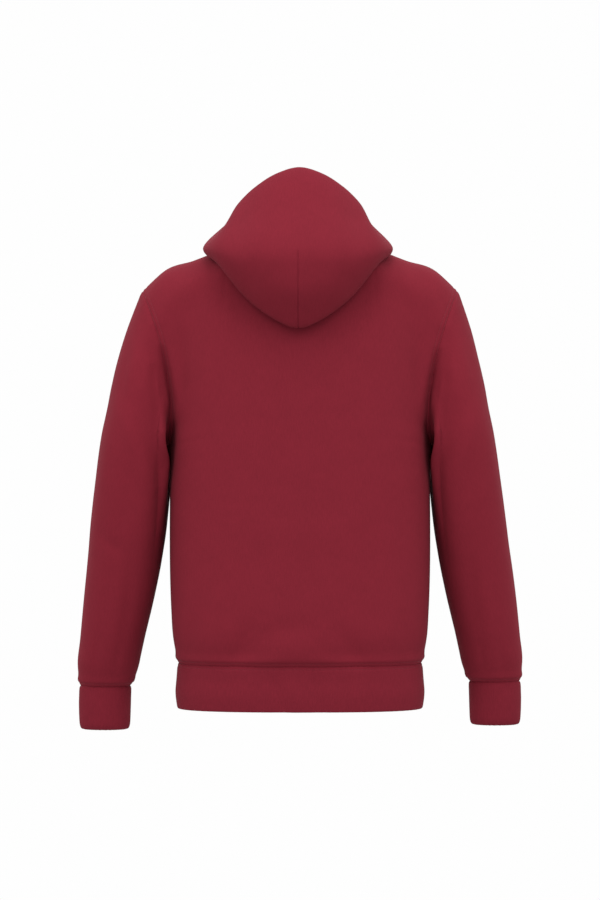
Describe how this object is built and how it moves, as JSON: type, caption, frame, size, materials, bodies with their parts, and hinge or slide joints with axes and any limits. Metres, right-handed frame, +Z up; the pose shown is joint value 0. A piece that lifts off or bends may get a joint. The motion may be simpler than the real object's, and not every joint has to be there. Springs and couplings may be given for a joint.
{
  "type": "zip-up hoodie",
  "caption": "Zip-up hoodie of smooth dark red fleece, filled out as worn and zipped to the neck, with its hood lowered on the back, set-in sleeves and rib cuffs and waistband.",
  "frame": {"origin": "in the middle of the neck opening, level with the high points of the shoulders, where the wearer's neck comes through", "axes": "+Z up, -Y towards the front of the garment, +X towards the wearer's left"},
  "size_m": [0.6667, 0.3025, 0.8328],
  "materials": {
    "fleece": "smooth brushed-back fleece, dark red",
    "rib": "fine rib knit, dark red",
    "tape": "woven zip tape, dark red",
    "metal": "nickel-plated zip metal"
  },
  "bodies": {
    "garment": {"back": "fleece", "front_left": "fleece", "front_right": "fleece", "sleeve_left": "fleece", "sleeve_right": "fleece", "cuff_left": "rib", "cuff_right": "rib", "hem_band": "rib", "hood": "fleece", "zip_tape_left": "tape", "zip_tape_right": "tape", "zip_box": "metal", "zip_slider": "metal"},
    "pull": {"zip_pull": "metal"}
  },
  "joints": [
    {"name": "zip_pull_hinge", "type": "hinge", "parent": "garment", "child": "pull", "pos_m": [0, -0.08299, -0.09558], "axis": [-1, 0, 0], "range_deg": [0, 120]}
  ]
}
